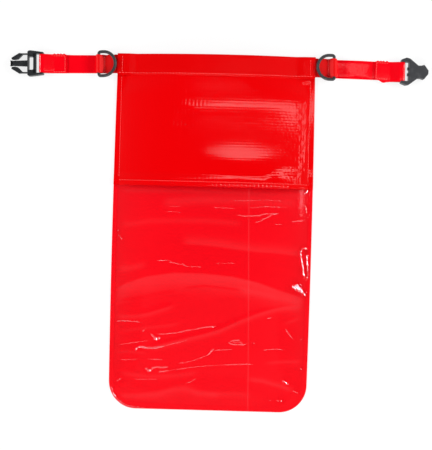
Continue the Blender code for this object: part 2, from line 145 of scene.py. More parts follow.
def makeCloth(name, colour, deep, roughness, shine, rise):
    # coated cloth: the woven scrim shows through the coating as faint ribs both ways
    finish = Finish(name)
    across, along, _ = finish.axes()
    drift = finish.noise(90, 2.0) * 0.9
    warp = (across * (2 * pi / scrim["across"]) + drift * 3).wave()
    weft = (along * (2 * pi / scrim["along"]) + drift * 3).wave()
    grain = finish.noise(1500, 2.0)
    patch = (along * (2 * pi / scrim["patch"]) + drift * 4).wave()
    height = (warp - 0.5) * patch * scrim["acrossRise"]
    height = height + weft * scrim["alongRise"] + grain * scrim["grainRise"]
    mottle = finish.noise(38, 4.0)
    return finish.coat(mottle, (deep, colour), mottle * 0.04 + (roughness - 0.02), height, rise, shine)


# name, colour, deeper colour, roughness, shine, rise of the yarns
cloth = makeCloth("coated_cloth_face", (0.79, 0.0004, 0.0018), (0.75, 0.0003, 0.0014),
                  0.07, 0.50, 0.000026)
clothBack = makeCloth("coated_cloth_reverse", (0.71, 0.0006, 0.0014), (0.67, 0.0005, 0.0011),
                      0.26, 0.16, 0.00001)
clothInside = makeCloth("cloth_behind_window", (1.0, 0.0006, 0.0090), (0.97, 0.0005, 0.0080),
                        0.50, 0.12, 0.00002)

filmFinish = {
    "ior": 1.48, "tint": (1.0, 0.82, 0.90), "roughness": 0.085, "ripple": 0.00010,
    "mirror": 1.7, "creasedMirror": 4.2,  # how many times a single face's share it mirrors
    "veil": 0.006,  # the share that it mirrors seen from any side
    "paintedSheen": 0.019,  # how much paler the painted sheen bands make the film, in place of its reflection of the lamps
    "crease": {"place": 0.0405, "lean": -0.0236, "width": 0.0007, "share": 0.030},
}


def makeFilm(name, mirror):
    # clear film: what it neither mirrors nor turns to painted sheen passes straight through to the cloth
    # behind
    finish = Finish(name)
    across, along, _ = finish.axes()
    fresnel = finish.node("Fresnel", {}, {"IOR": filmFinish["ior"]})
    outer = 1 - finish.node("NewGeometry", output="Backfacing")
    mirrored = fresnel * mirror + filmFinish["veil"]
    crease = filmFinish["crease"]
    away = (across - along * crease["lean"] - crease["place"]).maths("ABSOLUTE")
    creased = (1 - away * (1 / crease["width"])).clamped() * crease["share"]
    drift = finish.noise(30, 4.0, stretch=(0.30, 2.2, 1))
    # painted sheen: paler bands, kept on the window's points, where the film would mirror the lamps, and
    # a paler line along a crease
    clear = finish.node("Attribute", {"attribute_name": "clear_of_cloth"}, output=2)
    paleShare = clear * (drift * 1.1 + 0.45) * filmFinish["paintedSheen"] + creased
    share = (mirrored + paleShare).clamped(0.001)
    ripple = finish.noise(160, 2.0, stretch=(0.3, 1, 1))
    straight = finish.node("BsdfTransparent", {}, {"Color": (1, 1, 1, 1)})
    face = finish.node("BsdfPrincipled", {}, {
        "Base Color": (*filmFinish["tint"], 1), "Metallic": (mirrored / share).clamped(),
        "Roughness": filmFinish["roughness"], "Normal": finish.bump(ripple, filmFinish["ripple"]),
    })
    return finish.surface(finish.node("MixShader", {}, {0: share * outer, 1: straight, 2: face}))


film = makeFilm("clear_film", filmFinish["mirror"])
creasedFilm = makeFilm("creased_film", filmFinish["creasedMirror"])


webbingFinish = {"rib": 0.0013, "warp": 0.0009, "rise": 0.00001}


def makeWebbing(name, colour, deep, roughness, shine):
    # flat webbing: fine ribs across it, crossed by the warp
    finish = Finish(name)
    across, along, _ = finish.axes()
    ribs = (across * (2 * pi / webbingFinish["rib"]) + finish.noise(300) * 2).wave()
    warp = (along * (2 * pi / webbingFinish["warp"])).wave()
    height = ribs * 0.55 + warp * 0.45 + finish.noise(2200, 2.0) * 0.3
    mottle = finish.noise(120, 3.0)
    roughness = mottle * 0.06 + (roughness - 0.03)
    return finish.coat(mottle, (deep, colour), roughness, height, webbingFinish["rise"], shine)


strapFinish = makeWebbing("strap_webbing", (0.90, 0.0010, 0.0085), (0.85, 0.0008, 0.0070), 0.12, 0.45)
loopFinish = makeWebbing("loop_webbing", (0.80, 0.0020, 0.0035), (0.72, 0.0015, 0.0030), 0.50, 0.12)


def makeThread():
    finish = Finish("red_thread")
    twist = finish.noise(2600, 2.0)
    return finish.coat(twist, ((0.88, 0.025, 0.028), (1.0, 0.11, 0.11)), 0.35, twist, 0.00008)


thread = makeThread()


def makePlastic(name, colour, worn, roughness):
    # moulded plastic with a fine spark-eroded grain, paler where it has been rubbed
    finish = Finish(name)
    grain = finish.noise(1900, 3.0)
    rubbed = finish.noise(210, 4.0, 0.6)
    edge = finish.node("ValToRGB", {"stops": ((0.52, 0.0), (0.72, 1.0))}, {0: rubbed})
    return finish.coat(edge, (colour, worn), rubbed * 0.16 + (roughness - 0.08), grain, 0.00005)


bucklePlastic = makePlastic("buckle_plastic", (0.034, 0.035, 0.039), (0.050, 0.051, 0.056), 0.44)
prongedPlastic = makePlastic("pronged_plastic", (0.014, 0.015, 0.017), (0.026, 0.027, 0.030), 0.40)
ringPlastic = makePlastic("ring_plastic", (0.022, 0.023, 0.025), (0.034, 0.035, 0.038), 0.40)
stripPlastic = makePlastic("strip_plastic", (0.78, 0.78, 0.76), (0.84, 0.84, 0.82), 0.45)
print("finishes made")


# the pouch's outline and puff, as the frame has them

pouch = {
    "halfLength": 0.1960, "halfWidth": 0.1090, "sideBow": 0.0014, "cornerRadius": 0.030,
    "mouthSkew": 0.0016, "weld": 0.0050, "cloth": 0.0006, "film": 0.0005, "gap": 0.0003,
    "puff": 0.0085, "sideShoulder": 0.060, "footShoulder": 0.070, "mouthFade": 0.042,
    "seam": 0.0510, "seamLap": 0.0070, "seamFade": 0.0080,
}
hem = {
    "height": 0.0236, "flange": 0.0106, "foldRadius": 0.0011, "weld": 0.0009, "drop": 0.0007,
    "taper": 0.012, "thin": 0.0018, "thick": 0.0048,
    # the outer ply's height across its weld: (up from the weld, share)
    "welded": ((0.0004, 0.55), (0.0, 0.12), (-0.0003, 0.0), (-0.0009, 0.0)),
    "calmFold": 0.003, "calmWeld": 0.002,
}
hemFoot = pouch["halfLength"] - hem["height"]
innerPly = pouch["cloth"] * 1.5 + pouch["gap"]
footTop = -0.166  # where the foot's round corners end


def smoothStep(t):
    t = np.clip(t, 0.0, 1.0)
    return t * t * (3 - 2 * t)


def crest(away, reach, height):
    # a rounded ridge, seen across it
    return height * np.exp(-((away / reach) ** 2))


def ramp(x, start, end):
    return start[1] + (end[1] - start[1]) * smoothStep((x - start[0]) / (end[0] - start[0]))


def sideAt(y):
    return pouch["halfWidth"] + pouch["sideBow"] * (1 - (y / pouch["halfLength"]) ** 2)


def halfWidth(y):
    radius = pouch["cornerRadius"]
    below = np.clip(radius - pouch["halfLength"] - y, 0.0, radius)
    return sideAt(y) - radius + np.sqrt(radius**2 - below**2)


def edgeDistance(x, y):
    # how far in from the outline a point lies, round the foot's corners too
    side = sideAt(y) - np.abs(x)
    foot = y + pouch["halfLength"]
    radius = pouch["cornerRadius"]
    corner = radius - np.hypot(np.maximum(0, radius - side), np.maximum(0, radius - foot))
    return np.where((side < radius) & (foot < radius), corner, np.minimum(side, foot))


def skewed(x, y):
    share = np.maximum(0.0, (y - pouch["seam"]) / (pouch["halfLength"] - pouch["seam"]))
    return y + pouch["mouthSkew"] * share * x / (2 * pouch["halfWidth"])


def puffed(x, y):
    half = pouch["halfLength"]
    flange = ramp(y, (half - 2 * hem["height"], pouch["weld"]), (half - hem["height"], hem["flange"]))
    inner = halfWidth(y) - flange
    lower = smoothStep((half - y) / pouch["mouthFade"])
    shoulder = inner + (pouch["sideShoulder"] - inner) * lower
    side = np.clip((inner - np.abs(x)) / shoulder, 0, 1)
    foot = np.clip((y + half - pouch["weld"]) / pouch["footShoulder"], 0, 1)
    return pouch["puff"] * (1 - (1 - side) ** 2) * (1 - (1 - foot) ** 2)


def travel(line):
    # how far along a line each of its points lies
    return np.concatenate([[0], np.cumsum(np.linalg.norm(np.diff(line, axis=0), axis=1))])


def foldHeight(x, y, folds):
    # ridges along the given lines; each is (width, height, points), all in millimetres
    total = np.zeros_like(x)
    for width, height, points in folds:
        line = np.array(points, float) / 1000
        starts = travel(line)
        nearest = np.full(x.shape, 1e9)
        along = np.zeros_like(x)
        for i, length in enumerate(np.diff(starts)):
            dx, dy = (line[i + 1] - line[i]) / length
            t = np.clip((x - line[i, 0]) * dx + (y - line[i, 1]) * dy, 0, length)
            away = np.hypot(x - line[i, 0] - t * dx, y - line[i, 1] - t * dy)
            closer = away < nearest
            nearest = np.where(closer, away, nearest)
            along = np.where(closer, starts[i] + t, along)
        share = along / starts[-1]
        taper = smoothStep(share / 0.22) * smoothStep((1 - share) / 0.22)
        total += taper * crest(nearest, width / 1000, height / 1000)
    return total


def widthPlaces(y, rim, middle):
    # places across the pouch at y: close together in the rim, then even steps
    edge = float(halfWidth(y))
    outer = edge - np.array(rim[:-1])
    inner = np.linspace(-1, 1, middle + 1) * (edge - rim[-1])
    return np.concatenate([-outer, inner, outer[::-1]])


def sheetGrid(sheet, rows):
    x = np.array([widthPlaces(y, sheet["rim"], sheet["middle"]) for y in rows])
    return x, np.repeat(np.array(rows)[:, None], x.shape[1], 1)


def meshPiece(name, points, faces, finishes, faceFinish=None, sharp=40):
    mesh = bpy.data.meshes.new(name)
    mesh.from_pydata(np.asarray(points).tolist(), [], faces)
    for finish in finishes:
        mesh.materials.append(finish)
    if faceFinish is not None:
        mesh.polygons.foreach_set("material_index", np.asarray(faceFinish, np.int32))
    mesh.shade_smooth()
    mesh.set_sharp_from_angle(angle=radians(sharp))
    piece = bpy.data.objects.new(name, mesh)
    scene.collection.objects.link(piece)
    return piece


def gridShell(name, lower, upper, finishes, sideFinish=None):
    # a thin closed sheet between two grids of points
    rows, columns = lower.shape[:2]
    index = np.arange(rows * columns).reshape(rows, columns)
    quads = np.stack([index[:-1, :-1], index[:-1, 1:], index[1:, 1:], index[1:, :-1]], -1).reshape(-1, 4)
    rim = np.concatenate([index[0, :-1], index[:-1, -1], index[-1, :0:-1], index[:0:-1, 0]])
    ahead = np.roll(rim, -1)
    offset = rows * columns
    walls = np.stack([rim, ahead, ahead + offset, rim + offset], -1)
    faces = np.concatenate([quads[:, ::-1], quads + offset, walls])
    points = np.concatenate([lower.reshape(-1, 3), upper.reshape(-1, 3)])
    faceFinish = None
    if sideFinish is not None:
        faceFinish = np.concatenate([sideFinish.ravel(), sideFinish.ravel(), np.zeros(len(walls))])
    return meshPiece(name, points, faces.tolist(), finishes, faceFinish)


# back sheet

backSheet = {
    "rim": [0.0, 0.0008, 0.0016, 0.0024, 0.0034, 0.0042, 0.0050, 0.0070], "middle": 90,
    "footSteps": 16, "rows": 130,
    "groove": {"in": 0.0042, "reach": 0.0006, "depth": 0.00010},  # pressed in by the weld
}


def footRows(steps):
    radius = pouch["cornerRadius"]
    return [-pouch["halfLength"] + radius * (1 - cos(pi / 2 * i / steps)) for i in range(steps + 1)]


def makeBackSheet():
    rows = footRows(backSheet["footSteps"])
    rows += list(np.linspace(footTop, pouch["halfLength"], backSheet["rows"])[1:])
    x, y = sheetGrid(backSheet, rows)
    groove = backSheet["groove"]
    top = pouch["cloth"] - crest(edgeDistance(x, y) - groove["in"], groove["reach"], groove["depth"])
    sides = (np.stack([x, skewed(x, y), level], -1) for level in (0 * x, top))
    return gridShell("back_sheet", *sides, [clothInside])


back = makeBackSheet()
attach(back, "pouch")
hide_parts("back_panel")
print("back sheet made")


# clear window, with its creases

windowFolds = [
    # (width, height, points), in millimetres
    (14, 0.9, [(-106, -66), (-78, -56), (-31, -50), (22, -54), (66, -63), (104, -74)]),
    (9, 0.40, [(-100, 6), (-32, 8), (37, -12), (76, -18), (98, -22)]),
    (7, 0.35, [(-103, -40), (-67, -37), (-34, -44)]),
    (8, 0.30, [(-96, 30), (-40, 33), (30, 33), (90, 34)]),
    (4.5, 0.55, [(-92, -133), (-41, -122), (-9, -113), (22, -102), (56, -87), (95, -78)]),
    (5, 0.35, [(-104, -95), (-70, -91), (-36, -80)]),
    (6, 0.30, [(-100, -158), (-64, -160), (-9, -154)]),
    (6, 0.45, [(-97, -182), (-54, -179), (-24, -172), (10, -178)]),
    (5, 0.40, [(40, -160), (60, -162), (80, -167), (98, -173)]),
    (4, 0.30, [(59, -142), (85, -140), (103, -140)]),
]
# painted sheen: bands where the film is painted paler in place of its reflection of the lamps, less pale
# where the share is negative: (share, fade above, fade below, points)
paintedSheenBands = [
    (0.95, 0.8, 15, [(-107.4, -66.8), (-91.1, -57), (-69.2, -49.8), (-40.5, -45.2), (-7.4, -45.2),
        (23.6, -47.6), (52.5, -53.5), (74.9, -61.2), (106.1, -70.8)]),
    (0.6, 7, 1.0, [(-34.9, -11.7), (-12.7, -12.2), (9.4, -13.8), (27.2, -16.1), (49.3, -18.2),
        (71.5, -19.1), (102.5, -22.2)]),
    (0.3, 3, 3, [(-103.9, 7.4), (-88.5, 7.8), (-68.7, 11.7), (-9, 13.8), (35.3, 11.3)]),
    (0.55, 3, 3.5, [(-107, -42.4), (-89.3, -40.4), (-67.4, -35.1)]),
    (0.3, 2.0, 3, [(-105, 44.9), (-3.3, 45.6), (102.9, 44.1)]),
    (0.5, 5, 5, [(-58.2, 31.9), (-14.1, 36.4), (30.1, 36.6), (96.5, 36.2)]),
    (0.85, 1.0, 3.2, [(-64.8, -128.1), (-40.6, -120.8), (-23.1, -115.9), (-5.5, -111.5), (12, -106.1),
        (33.8, -95.3), (51.3, -88), (68.8, -82.2), (82, -79.6), (104.1, -77.4)]),
    (0.55, 1.2, 3, [(-105.5, -94.4), (-81.2, -93), (-65.8, -89.9), (-50.5, -84.4), (-35.2, -79.1)]),
    (0.65, 2.4, 4, [(-100.8, -182.7), (-74.3, -180.8), (-54.5, -178), (-37, -172.7), (-23.8, -171.2),
        (-10.4, -175.7), (16.2, -178.3)]),
    (0.45, 2, 4, [(-1.5, -177.2), (31.6, -176.1), (51.6, -177.3)]),
    (0.75, 3.5, 1.6, [(40, -159.9), (60, -161.6), (80, -167), (97.9, -172.7)]),
    (0.55, 2, 1.4, [(59.4, -141.3), (84.8, -139.4), (104.7, -139.3)]),
    (0.45, 1.2, 2, [(78.1, -98.1), (91.3, -94.4), (104.4, -88.5)]),
    (0.4, 2, 3, [(-99.4, -156.1), (-63.9, -159.5), (-30.8, -156.8), (-8.8, -152.5)]),
    (0.35, 1.4, 2, [(-100.6, -110.8), (-65.4, -105), (-43.4, -102.1), (-28, -98.4)]),
    (0.45, 1.0, 1.6, [(-104.4, -134.1), (-89, -132.6), (-64.6, -133.7)]),
    (0.5, 0.8, 5, [(28.4, -58.6), (57.2, -63.3), (81.7, -67), (106.2, -74.1)]),
    (-0.55, 1.0, 1.4, [(-31.3, -60.9), (-7, -57.3), (12.9, -59), (37.3, -61)]),
    (-0.5, 1.6, 1.6, [(-101.6, -76.6), (-77.4, -73.2), (-55.4, -67.1), (-35.6, -63.7)]),
    (-0.5, 1.4, 1.8, [(-6.5, -76.1), (17.7, -71), (44.2, -72.5)]),
    (-0.45, 2, 3, [(-106.5, -59.7), (-91.1, -55.3), (-77.9, -52.7)]),
    (-0.5, 2.4, 2.4, [(-105.8, -85.1), (-77.2, -80.3), (-48.6, -73.5), (-22.2, -69.9)]),
]
windowSheet = {
    "rim": [0.0, 0.0007, 0.0014, 0.0021, 0.0028, 0.0034, 0.0039, 0.0044, 0.0050, 0.0058, 0.0068, 0.0080],
    "middle": 156, "footSteps": 22, "rows": 182,
    "bead": {"in": 0.0040, "reach": 0.0005, "height": 0.00028, "upTo": 0.0505},
    # the folds fade out towards the weld and the seam: (starts, reach)
    "foldsIn": (0.0046, 0.0050), "foldsBelow": (0.0515, 0.004),
}


def windowLevel(x, y):
    weld, reachIn = windowSheet["foldsIn"]
    seam, reachBelow = windowSheet["foldsBelow"]
    inside = smoothStep((edgeDistance(x, y) - weld) / reachIn) * smoothStep((seam - y) / reachBelow)
    creased = foldHeight(x, y, windowFolds)
    bead = windowSheet["bead"]
    raised = crest(edgeDistance(x, y) - bead["in"], bead["reach"], bead["height"])
    flat = pouch["cloth"] + pouch["gap"] + puffed(x, y)
    return flat + creased * inside + raised * (y < bead["upTo"])


def paintedSheenAt(x, y):
    # painted sheen: 0 where the film is left plain, 1 where it is painted palest
    total = np.zeros_like(x)
    for share, above, below, points in paintedSheenBands:
        line = np.array(points, float) / 1000
        up = y - np.interp(x, line[:, 0], line[:, 1])
        fade = np.where(up > 0, above, below) / 1000
        ends = smoothStep((x - line[0, 0]) / 0.012) * smoothStep((line[-1, 0] - x) / 0.012)
        total += ends * crest(up, fade, share)
    return np.clip(total, 0, 1) * smoothStep((edgeDistance(x, y) - 0.0050) / 0.003)


def makeWindow():
    rows = footRows(windowSheet["footSteps"])
    rows += list(np.linspace(footTop, pouch["seam"] + pouch["seamLap"], windowSheet["rows"])[1:])
    x, y = sheetGrid(windowSheet, rows)
    level = windowLevel(x, y)
    sides = (np.stack([x, y, side], -1) for side in (level, level + pouch["film"]))
    made = gridShell("clear_window", *sides, [film])
    # the painted sheen, stored on both faces' points
    pale = made.data.attributes.new("clear_of_cloth", "FLOAT", "POINT")
    pale.data.foreach_set("value", np.tile(paintedSheenAt(x, y).ravel(), 2))
    return made


window = makeWindow()
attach(window, "pouch")
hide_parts("window_panel")
print("window made:", len(window.data.polygons), "faces")

glints = {
    # small sharp creases in the film, with flanks tilted in degrees
    "step": 0.0005, "fineTilt": 31, "boldTilt": 17,
    "flank": 0.42,  # each flank's share of the width
    "sunk": 0.00006,
}
# each crease: (width, points), in millimetres
fineCreases = [
    (0.5, [(22.4, 36.3), (41.2, 37.3), (61, 38.3), (81, 37.3)]),
    (0.5, [(-47, 28.2), (-34.9, 28.8)]),
    (0.45, [(-51.3, 22.7), (-36.9, 22.7)]),
    (0.5, [(-0.6, 28.4), (12.7, 28.3), (25.9, 28)]),
    (0.6, [(39.2, 28.9), (56.8, 30.9), (81.1, 30.7)]),
    (1.1, [(26.2, 20.5), (37.2, 20), (48.3, 20.5), (59.2, 23), (73.6, 23.6)]),
    (1.3, [(46.9, 12.5), (53.9, 15.8), (61.5, 19.7), (65.9, 22.5), (73.6, 24.1)]),
    (0.6, [(68.4, 11.5), (77.2, 12.2)]),
    (0.8, [(87.8, 15), (93.7, 16.4), (97, 15.9), (102.5, 16.5)]),
    (0.6, [(96.5, 35.1), (101, 33.5), (103.2, 30.9), (104.1, 24.3)]),
    (0.8, [(-104.8, 0.7), (-101.5, -0.7)]),
    (1.0, [(-103.2, -4.3), (-101.3, -6.9), (-98.6, -9.5)]),
    (0.9, [(-59.1, -31.6), (-54.2, -31.2), (-47.6, -30.8)]),
    (1.0, [(-47.6, -30.8), (-44.2, -32.9), (-40.9, -33.3), (-35.8, -34.7), (-30.9, -34.6),
        (-27.5, -36.5), (-23.5, -37.2)]),
    (0.6, [(-23.5, -37.2), (-16.5, -37), (-9.8, -37.3)]),
    (0.45, [(4.4, -32.7), (27.6, -32)]),
    (1.1, [(-103.1, -99.8), (-89.9, -99), (-74.4, -99.7)]),
    (0.6, [(-73, -110), (-70.9, -107.1), (-69.8, -106)]),
    (2.8, [(-64.1, -112), (-60.7, -115.2), (-56.6, -118.6)]),
    (2.2, [(-59.5, -118.5), (-56.2, -117.3), (-53.6, -115.7)]),
    (1.1, [(-57.5, -111.8), (-47.5, -111.5), (-35.4, -110.1), (-25.5, -107.6), (-16.7, -105.8)]),
    (1.4, [(-16.7, -105.8), (-5.8, -103.3), (7.5, -101.8)]),
    (0.6, [(-99.1, -125.8), (-82.6, -122.5), (-66.1, -119.3)]),
    (1.9, [(-81.3, -130.6), (-78, -127.9), (-74.8, -126.2), (-67, -127.5)]),
    (2.6, [(-74.7, -127.1), (-64.8, -127.7), (-56, -126.8), (-48.3, -124.8)]),
    (0.5, [(-48.3, -124.8), (-36.2, -121.2), (-23.1, -117.5)]),
    (0.6, [(-96.4, -142.3), (-86.5, -141.4), (-76.6, -140.4)]),
    (0.8, [(-65.5, -140.3), (-50.1, -139.9)]),
    (0.6, [(-35.6, -144.4), (-24.6, -142.3), (-15.8, -140), (-7, -136.5), (0.6, -133)]),
    (1.8, [(0.6, -133), (2.7, -129.4), (6, -127.1)]),
    (0.7, [(6, -128.4), (15.9, -127.4), (25.8, -126.5)]),
    (3.0, [(-68.6, -150.1), (-65.2, -152.3), (-61.8, -153.3)]),
    (2.1, [(-63, -151.8), (-60.2, -149.5), (-57.6, -148.3), (-50.9, -148.5), (-44.3, -147.9)]),
    (1.5, [(-54.1, -153.7), (-48.6, -152.9), (-43.1, -151.9)]),
    (0.6, [(-43.1, -151.9), (-31, -149.8), (-17.8, -147.6), (-2.4, -145.6), (13.1, -144.1)]),
    (0.8, [(13.1, -144.1), (32.9, -142.9), (50.6, -142.2)]),
    (1.5, [(21.2, -119.1), (25.7, -121), (32.3, -121.2), (38.9, -120.8), (42.2, -119.6)]),
    (1.3, [(22.3, -118.4), (27.8, -116.5), (34.4, -116.1)]),
    (0.8, [(26.7, -118.7), (32.2, -118.1), (37.8, -118.7)]),
    (0.8, [(47.7, -118.8), (51.1, -119.4)]),
    (0.8, [(57.9, -126.3), (67.8, -125.6), (76.6, -125.1), (83.3, -126.2)]),
    (0.8, [(62.5, -91.9), (68, -91.1)]),
    (1.2, [(83.8, -103.4), (87.2, -107.8), (90, -111.4), (92.9, -114.2)]),
    (0.9, [(101.3, -114.4), (102.9, -114)]),
    (0.9, [(101.6, -146.1), (103.4, -148.7)]),
    (2.6, [(82.1, -160.5), (85.4, -162.4), (89.2, -164.3)]),
    (0.8, [(94.5, -171.7), (100.1, -173.7)]),
    (1.3, [(76.7, -183.2), (82.7, -183.1)]),
    (0.8, [(67.2, -183), (70.5, -183)]),
    (0.8, [(-107.1, -170.9), (-104.8, -178), (-100.8, -184.3), (-95.3, -189.3), (-88.7, -192.8),
        (-80, -194.4), (-70, -194.6)]),
    (0.8, [(-100.2, -166.5), (-98, -164.2), (-95.8, -163.1)]),
    (0.5, [(-81.5, -162.9), (-68.2, -162.7), (-55, -162.1)]),
    (0.8, [(-22.8, -165.4), (-17.4, -163.3), (-13, -159.9)]),
]
boldCreases = [
    (1.9, [(97.7, -23.5), (97.8, -18.6), (99.6, -14.6), (102.3, -13.2), (105.2, -15.5),
        (106.3, -24.3), (106.9, -37.6), (107, -47.5), (104.8, -49.8)]),
    (2.4, [(98.6, -16.4), (98.6, -23)]),
    (2.6, [(98.8, -22.3), (99.9, -30), (101.3, -35.5), (102, -42.1), (103.7, -47.6)]),
    (1.8, [(90.2, -54.6), (90.6, -59)]),
    (1.8, [(91.6, -53.8), (92.4, -60)]),
    (1.8, [(93.0, -53.6), (94.2, -61)]),
    (1.8, [(94.4, -54.2), (96.0, -62)]),
    (1.8, [(95.8, -55.2), (97.8, -63)]),
    (1.8, [(97.4, -57.0), (99.4, -64)]),
    (1.8, [(99.0, -59.4), (101.2, -66)]),
    (2.6, [(94.6, -54.1), (99.1, -58.8), (102.6, -63.6), (106, -67.4)]),
    (1.2, [(97.9, -53.3), (100.8, -55)]),
    (1.4, [(105.8, -61.5), (107, -63.2)]),
    (2.0, [(100.8, 45.4), (101.2, 48.0)]),
    (2.2, [(102.2, 46.2), (102.6, 49.2)]),
    (2.0, [(103.7, 47.6), (104.1, 50.6)]),
]


def ridgeStrips(name, lines, levelAt, finish):
    # low ridges with straight flanks, which lie on the surface whose height levelAt gives
    points, faces = [], []
    for number, (tilt, width, line) in enumerate(lines):
        rise = glints["flank"] * np.tan(radians(tilt))
        line = np.array(line, float) / 1000
        travelled = travel(line)
        count = max(4, int(travelled[-1] / glints["step"]))
        places = np.linspace(0, travelled[-1], count + 1)
        x, y = (np.interp(places, travelled, line[:, i]) for i in (0, 1))
        dx, dy = np.gradient(x), np.gradient(y)
        length = np.hypot(dx, dy)
        # each wanders a little and thins out in places, so that none looks ruled
        sway = 0.00012 * np.sin(places * 1900 + number * 2.4)
        sway = sway + 0.0001 * np.sin(places * 730 + number)
        x, y = x - dy / length * sway, y + dx / length * sway
        share = places / travelled[-1]
        taper = np.minimum(1, 5 * np.minimum(share + 0.05, 1.05 - share))
        broken = 0.75 + 0.35 * np.sin(places * 1250 + number * 1.7) * np.sin(places * 410 + number)
        across = width / 1000 * taper * broken
        start = len(points)
        for i in range(count + 1):
            nx, ny = -dy[i] / length[i], dx[i] / length[i]
            crown = 0.5 - glints["flank"]
            for side, up in ((-0.5, 0.0), (-crown, 1.0), (crown, 1.0), (0.5, 0.0)):
                height = up * rise * across[i] - glints["sunk"] * (1 - up)
                points.append((x[i] + nx * side * across[i], y[i] + ny * side * across[i], height))
        for i in range(count):
            a, b = start + 4 * i, start + 4 * i + 4
            faces += [[b + j, b + (j + 1) % 4, a + (j + 1) % 4, a + j] for j in range(4)]
        faces.append([start, start + 1, start + 2, start + 3])
        faces.append([start + 4 * count + j for j in (3, 2, 1, 0)])
    points = np.array(points)
    points[:, 2] += levelAt(points[:, 0], points[:, 1])
    return meshPiece(name, points, faces, [finish], sharp=20)


def windowTop(x, y):
    return windowLevel(x, y) + pouch["film"]


creaseLines = [(glints["fineTilt"], *line) for line in fineCreases]
creaseLines += [(glints["boldTilt"], *line) for line in boldCreases]
creases = ridgeStrips("window_creases", creaseLines, windowTop, creasedFilm)
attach(creases, "pouch")
print("creases made:", len(creases.data.polygons), "faces")


# red front sheet, folded out and down round the mouth

frontFolds = [
    # (width, height, points), in millimetres
    (12, 0.26, [(-60, 141.5), (-11, 141.5), (38, 142), (84, 143)]),
    (14, 0.11, [(58, 143), (118, 145)]),
    (2.2, 0.50, [(94, 168), (100, 171), (105, 175)]),
    (1.8, 0.10, [(98, 152), (103, 139)]),
    (1.8, 0.12, [(104, 128), (100, 112)]),
    (1.6, 0.10, [(98, 96), (103, 84)]),
]
frontSwells = [
    # (middle x, middle y, reach along x, reach along y, height), in millimetres
    (27, 75, 52, 17, 1.14),
    (82, 54, 17, 12, 0.75),
    (-70, 105, 40, 30, 0.35),
]
hemFolds = [
    (1.6, 0.35, [(99, 174), (100, 184), (98, 196)]),
    (1.4, 0.30, [(104, 173), (104, 190)]),
    (3.0, 0.35, [(30, 172), (45, 173.5), (60, 173)]),
]
frontSheet = {
    "rim": [0.0, 0.0008, 0.0016, 0.0024, 0.0032, 0.0039, 0.0044, 0.0050, 0.0060, 0.0080, 0.0106],
    "middle": 150,
    # lines raised by the weld and the seams: (place, reach, height)
    "sideBead": (0.0044, 0.0006, 0.00015), "seamBead": (0.0565, 0.00045, 0.00025),
    "edgeBead": (0.0514, 0.0005, 0.00025),
    # where the unevenness fades out: (starts, reach)
    "calmSide": (0.0046, 0.0040), "calmSeam": (0.002, 0.005), "calmHem": (-0.001, 0.003),
    # at its right end the sheet comes down off the film more slowly
    "slack": 0.012, "slackAt": (0.054, 0.018),
}


def frontLevel(x, y):
    # middle of the cloth below the hem
    lapTop = pouch["seam"] + pouch["seamLap"]
    lifted = pouch["film"] + pouch["gap"]
    slackFrom, slackReach = frontSheet["slackAt"]
    fade = pouch["seamFade"] + frontSheet["slack"] * smoothStep((x - slackFrom) / slackReach)
    level = innerPly + puffed(x, y) + ramp(y, (lapTop, lifted), (lapTop + fade, 0.0))
    calm = 1.0
    for inward, edge in ((edgeDistance(x, y), "calmSide"), (y - pouch["seam"], "calmSeam"),
                         (hemFoot - y, "calmHem")):
        starts, reach = frontSheet[edge]
        calm = calm * smoothStep((inward - starts) / reach)
    raised = 0.0
    for across, bead in ((edgeDistance(x, y), "sideBead"), (y, "seamBead"), (y, "edgeBead")):
        place, reach, height = frontSheet[bead]
        raised = raised + crest(across - place, reach, height)
    uneven = foldHeight(x, y, frontFolds)
    for middleX, middleY, reachX, reachY, height in frontSwells:
        away = np.hypot((x * 1000 - middleX) / reachX, (y * 1000 - middleY) / reachY)
        uneven += crest(away, 1.0, height / 1000)
    return level + uneven * calm + raised


def hemLevel(x):
    # (inner ply, outer ply) at the mouth, to the middle of the cloth
    inner = innerPly + puffed(x, pouch["halfLength"])
    endsAt = halfWidth(pouch["halfLength"]) - hem["flange"]
    cavity = ramp(np.abs(x), (endsAt - hem["taper"], hem["thin"]), (endsAt, hem["thick"]))
    return inner, inner + pouch["cloth"] + cavity


def frontLine():
    # rows of points (x, y, z) from the seam up to the mouth, round the fold and down to the hem's weld
    half, radius = pouch["halfLength"], hem["foldRadius"]
    seamTop = pouch["seam"] + pouch["seamLap"] + 0.001  # the rows are closer together over the lap
    rows = list(np.linspace(pouch["seam"], seamTop, 20))
    rows += list(np.linspace(seamTop, hemFoot, 92)[1:])
    rows += list(np.linspace(hemFoot, half - radius - pouch["gap"], 8)[1:])
    grid = []
    for y in rows:
        x = widthPlaces(y, frontSheet["rim"], frontSheet["middle"])
        grid.append((x, np.full_like(x, y), frontLevel(x, np.full_like(x, y))))
    x = widthPlaces(half, frontSheet["rim"], frontSheet["middle"])
    inner, outer = hemLevel(x)
    turn = half - radius
    for angle in np.linspace(0, pi / 2, 6):
        grid.append((x, np.full_like(x, turn + radius * sin(angle)), inner + radius * (1 - cos(angle))))
    for angle in np.linspace(0, pi / 2, 6):
        grid.append((x, np.full_like(x, turn + radius * cos(angle)), outer - radius * (1 - sin(angle))))
    weld = hemFoot + hem["weld"]
    for y in np.linspace(turn, weld + hem["drop"], 30)[1:]:
        flat = np.full_like(x, y)
        calm = smoothStep((turn - y) / hem["calmFold"])
        calm = calm * smoothStep((y - weld - hem["drop"]) / hem["calmWeld"])
        wave = 0.00010 * np.sin(x * 75 + y * 30) + 0.00006 * np.sin(x * 210 + 1.3)
        grid.append((x, flat, outer + calm * (wave + foldHeight(x, flat, hemFolds))))
    welded = inner + pouch["cloth"] + pouch["gap"]
    for up, share in hem["welded"]:
        grid.append((x, np.full_like(x, weld + up), welded + (outer - welded) * share))
    return np.array([np.stack(row, -1) for row in grid]), len(rows) + 6


